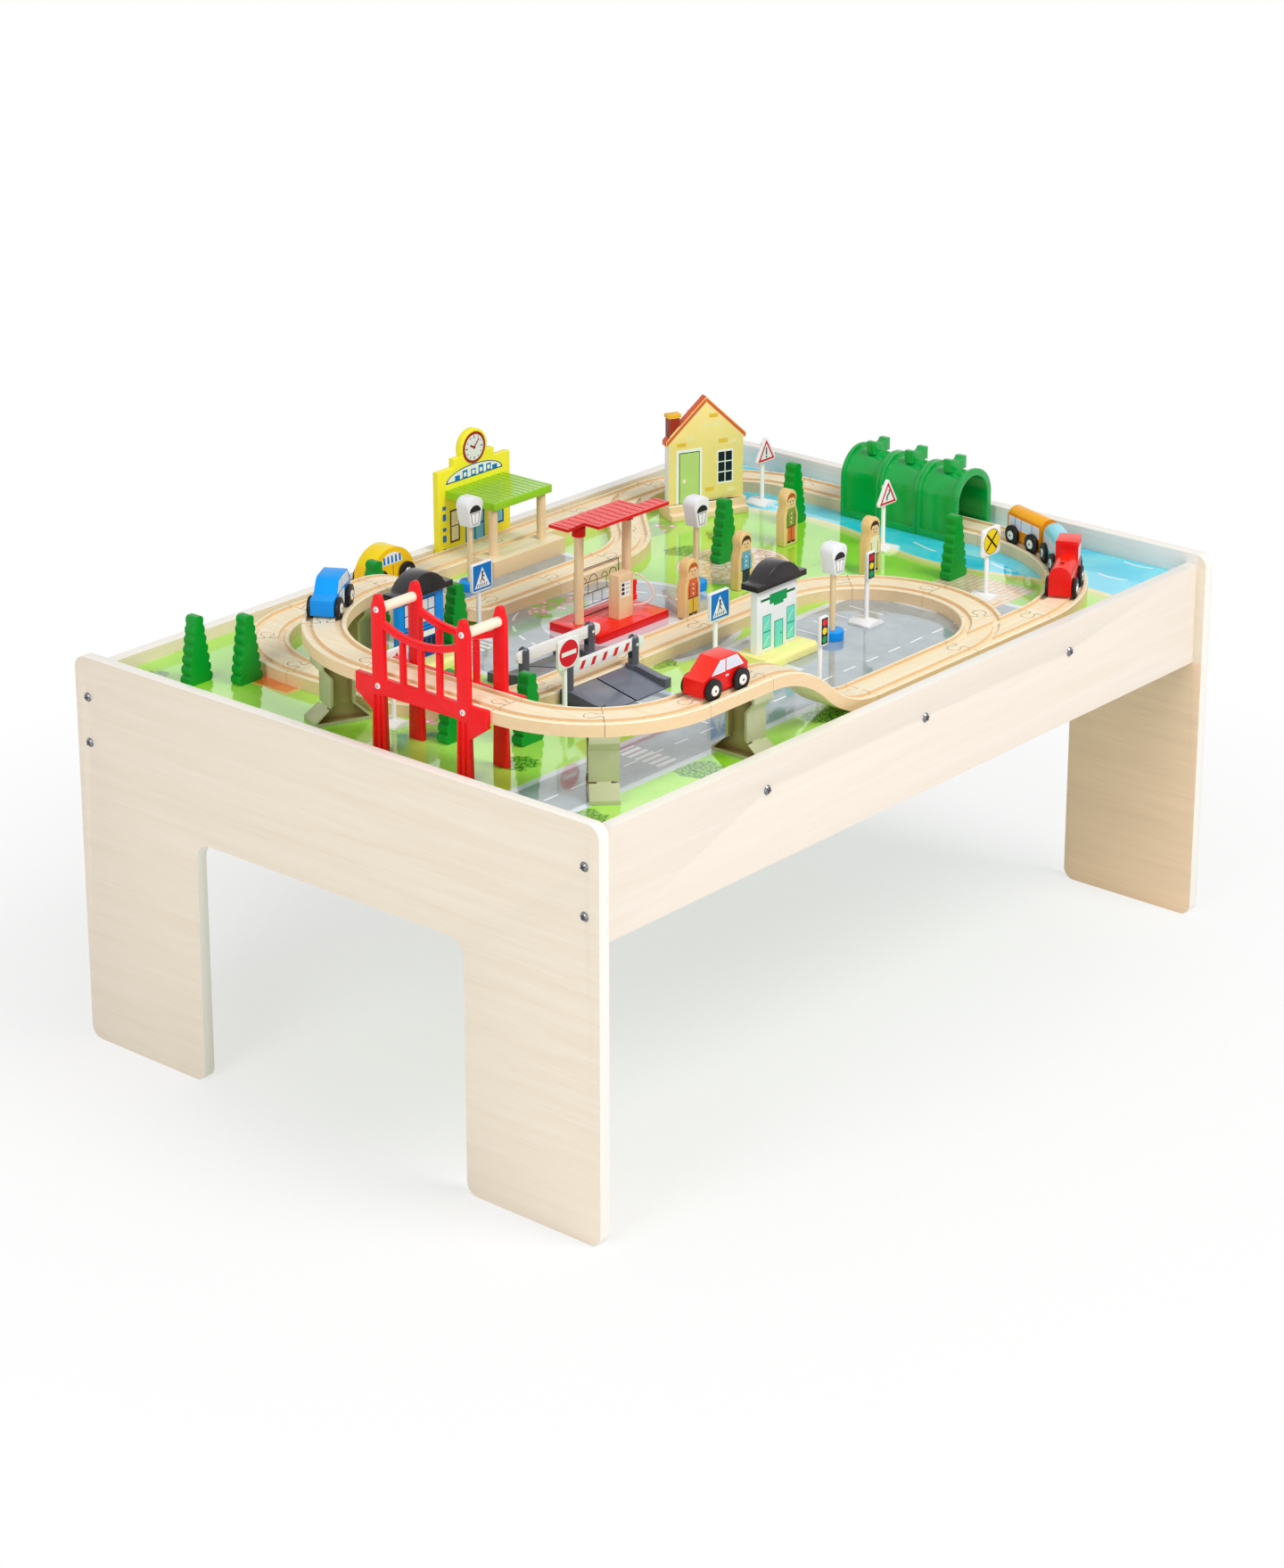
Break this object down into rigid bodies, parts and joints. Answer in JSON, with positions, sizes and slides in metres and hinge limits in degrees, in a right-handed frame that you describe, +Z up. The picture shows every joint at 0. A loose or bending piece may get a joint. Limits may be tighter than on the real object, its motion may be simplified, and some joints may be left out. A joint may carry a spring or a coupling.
{
  "type": "train_table",
  "caption": "A low wooden play table with a printed board, a two-level wooden railway, town scenery and a toy train and cars that roll on the track.",
  "frame": {"origin": "on the floor under the middle of the table", "axes": "+X along the table from the bridge end to the tunnel end, +Y from the front rail to the station's rail, +Z up"},
  "size_m": [0.9154, 0.63, 0.503],
  "materials": {
    "birch_laminate": "pale birch-grain laminate on board, satin",
    "printed_board": "glossy printed play board",
    "batten_wood": "plain sawn softwood",
    "steel": "nickel-plated steel",
    "beech": "sanded light beech, clear satin",
    "khaki_plastic": "khaki moulded plastic",
    "red_plastic": "red moulded plastic",
    "grey_plastic": "dark grey moulded plastic",
    "white_plastic": "white moulded plastic",
    "green_plastic": "green moulded plastic",
    "yellow_paint": "yellow paint on wood",
    "cream_paint": "cream-yellow paint on wood",
    "clear_plastic": "clear plastic sheet with a printed line pattern",
    "hose_plastic": "pale flexible plastic",
    "blue_paint": "blue paint on wood",
    "white_paint": "white paint on wood",
    "black_paint": "black paint on wood",
    "tree_green": "dark green paint on wood",
    "sky_paint": "light blue paint on wood",
    "red_paint": "red paint on wood",
    "orange_paint": "orange paint on wood",
    "black_plastic": "black moulded plastic"
  },
  "bodies": {
    "table": {"end_panel_left": "birch_laminate", "end_panel_right": "birch_laminate", "side_rail_front": "birch_laminate", "side_rail_back": "birch_laminate", "play_boards": "printed_board", "cross_battens": "batten_wood", "table_screws": "steel", "straight_tracks": "beech", "curved_tracks": "beech", "turnout_tracks": "beech", "ramp_tracks": "beech", "raised_tracks": "beech", "track_piers": "khaki_plastic", "bridge_frames": "red_plastic", "bridge_dowels": "beech", "crossing_ramps": "grey_plastic", "tunnel_sections": "green_plastic", "station_wall": "yellow_paint", "station_roof": "green_plastic", "station_platform": "beech", "house_wall": "cream_paint", "house_plinth": "beech", "fuel_base": "red_plastic", "fuel_posts": "beech", "fuel_roof": "red_plastic", "fuel_pump": "beech", "fuel_screen": "clear_plastic", "fuel_hose": "hose_plastic", "fuel_nozzle": "red_plastic", "blue_house_wall": "blue_paint", "white_house_wall": "white_paint", "town_house_roofs": "black_paint", "town_house_bases": "cream_paint", "trees": "tree_green", "figures": "beech", "lamp_bases": "sky_paint", "lamp_posts": "beech", "lamp_heads": "white_paint", "sign_stands": "white_plastic", "sign_plates": "white_plastic"},
    "barrier_front": {"barrier_front": "white_plastic"},
    "barrier_back": {"barrier_back": "white_plastic"},
    "red_car": {"red_car_body": "red_paint"},
    "red_car_front_axle": {"red_car_front_wheels": "black_plastic"},
    "red_car_rear_axle": {"red_car_rear_wheels": "black_plastic"},
    "yellow_car": {"yellow_car_body": "yellow_paint"},
    "yellow_car_front_axle": {"yellow_car_front_wheels": "black_plastic"},
    "yellow_car_rear_axle": {"yellow_car_rear_wheels": "black_plastic"},
    "blue_car": {"blue_car_body": "blue_paint"},
    "blue_car_front_axle": {"blue_car_front_wheels": "black_plastic"},
    "blue_car_rear_axle": {"blue_car_rear_wheels": "black_plastic"},
    "loco": {"loco_body": "red_paint"},
    "loco_front_axle": {"loco_front_wheels": "black_plastic"},
    "loco_rear_axle": {"loco_rear_wheels": "black_plastic"},
    "blue_wagon": {"blue_wagon_body": "sky_paint"},
    "blue_wagon_front_axle": {"blue_wagon_front_wheels": "black_plastic"},
    "blue_wagon_rear_axle": {"blue_wagon_rear_wheels": "black_plastic"},
    "orange_wagon": {"orange_wagon_body": "orange_paint"},
    "orange_wagon_front_axle": {"orange_wagon_front_wheels": "black_plastic"},
    "orange_wagon_rear_axle": {"orange_wagon_rear_wheels": "black_plastic"}
  },
  "joints": [
    {"name": "barrier_front_lift", "type": "hinge", "parent": "table", "child": "barrier_front", "pos_m": [-0.1287, -0.0714, 0.391], "axis": [0, 1, 0], "range_deg": [0, 80]},
    {"name": "barrier_back_lift", "type": "hinge", "parent": "table", "child": "barrier_back", "pos_m": [-0.1287, -0.0186, 0.391], "axis": [0, 1, 0], "range_deg": [0, 80]},
    {"name": "red_car_run", "type": "slide", "parent": "table", "child": "red_car", "axis": [1, 0, 0], "range_m": [-0.004, 0.026]},
    {"name": "red_car_front_roll", "type": "hinge", "parent": "red_car", "child": "red_car_front_axle", "pos_m": [-0.26626, -0.265, 0.4353], "axis": [0, -1, 0], "continuous": true},
    {"name": "red_car_rear_roll", "type": "hinge", "parent": "red_car", "child": "red_car_rear_axle", "pos_m": [-0.22926, -0.265, 0.4353], "axis": [0, -1, 0], "continuous": true},
    {"name": "yellow_car_run", "type": "slide", "parent": "table", "child": "yellow_car", "axis": [1, 0, 0], "range_m": [-0.08, 0.22]},
    {"name": "yellow_car_front_roll", "type": "hinge", "parent": "yellow_car", "child": "yellow_car_front_axle", "pos_m": [-0.0865, 0.265, 0.3773], "axis": [0, 1, 0], "continuous": true},
    {"name": "yellow_car_rear_roll", "type": "hinge", "parent": "yellow_car", "child": "yellow_car_rear_axle", "pos_m": [-0.1235, 0.265, 0.3773], "axis": [0, 1, 0], "continuous": true},
    {"name": "blue_car_run", "type": "hinge", "parent": "table", "child": "blue_car", "pos_m": [-0.238, 0, 0.428], "axis": [0, 0, 1], "range_deg": [-18, 46]},
    {"name": "blue_car_front_roll", "type": "hinge", "parent": "blue_car", "child": "blue_car_front_axle", "pos_m": [-0.32845, 0.11966, 0.4353], "axis": [0.5, -0.866, 0], "continuous": true},
    {"name": "blue_car_rear_roll", "type": "hinge", "parent": "blue_car", "child": "blue_car_rear_axle", "pos_m": [-0.29641, 0.13816, 0.4353], "axis": [0.5, -0.866, 0], "continuous": true},
    {"name": "loco_run", "type": "hinge", "parent": "table", "child": "loco", "pos_m": [0.223, -0.087, 0.37], "axis": [0, 0, 1], "range_deg": [-14, 10]},
    {"name": "loco_front_roll", "type": "hinge", "parent": "loco", "child": "loco_front_axle", "pos_m": [0.28438, -0.25408, 0.3773], "axis": [0.4431, -0.8965, 0], "continuous": true},
    {"name": "loco_rear_roll", "type": "hinge", "parent": "loco", "child": "loco_rear_axle", "pos_m": [0.31845, -0.23725, 0.3773], "axis": [0.4431, -0.8965, 0], "continuous": true},
    {"name": "blue_wagon_run", "type": "hinge", "parent": "table", "child": "blue_wagon", "pos_m": [0.223, -0.087, 0.37], "axis": [0, 0, 1], "range_deg": [-14, 10]},
    {"name": "blue_wagon_front_roll", "type": "hinge", "parent": "blue_wagon", "child": "blue_wagon_front_axle", "pos_m": [0.34593, -0.21573, 0.3773], "axis": [0.7547, -0.6561, 0], "continuous": true},
    {"name": "blue_wagon_rear_roll", "type": "hinge", "parent": "blue_wagon", "child": "blue_wagon_rear_axle", "pos_m": [0.36758, -0.19082, 0.3773], "axis": [0.7547, -0.6561, 0], "continuous": true},
    {"name": "orange_wagon_run", "type": "hinge", "parent": "table", "child": "orange_wagon", "pos_m": [0.223, -0.087, 0.37], "axis": [0, 0, 1], "range_deg": [-14, 10]},
    {"name": "orange_wagon_front_roll", "type": "hinge", "parent": "orange_wagon", "child": "orange_wagon_front_axle", "pos_m": [0.38443, -0.162, 0.3773], "axis": [0.9421, -0.3355, 0], "continuous": true},
    {"name": "orange_wagon_rear_roll", "type": "hinge", "parent": "orange_wagon", "child": "orange_wagon_rear_axle", "pos_m": [0.3955, -0.13091, 0.3773], "axis": [0.9421, -0.3355, 0], "continuous": true}
  ],
  "couplings": [
    {"joint": "blue_wagon_run", "follows": "loco_run", "ratio": 1},
    {"joint": "orange_wagon_run", "follows": "loco_run", "ratio": 1}
  ]
}
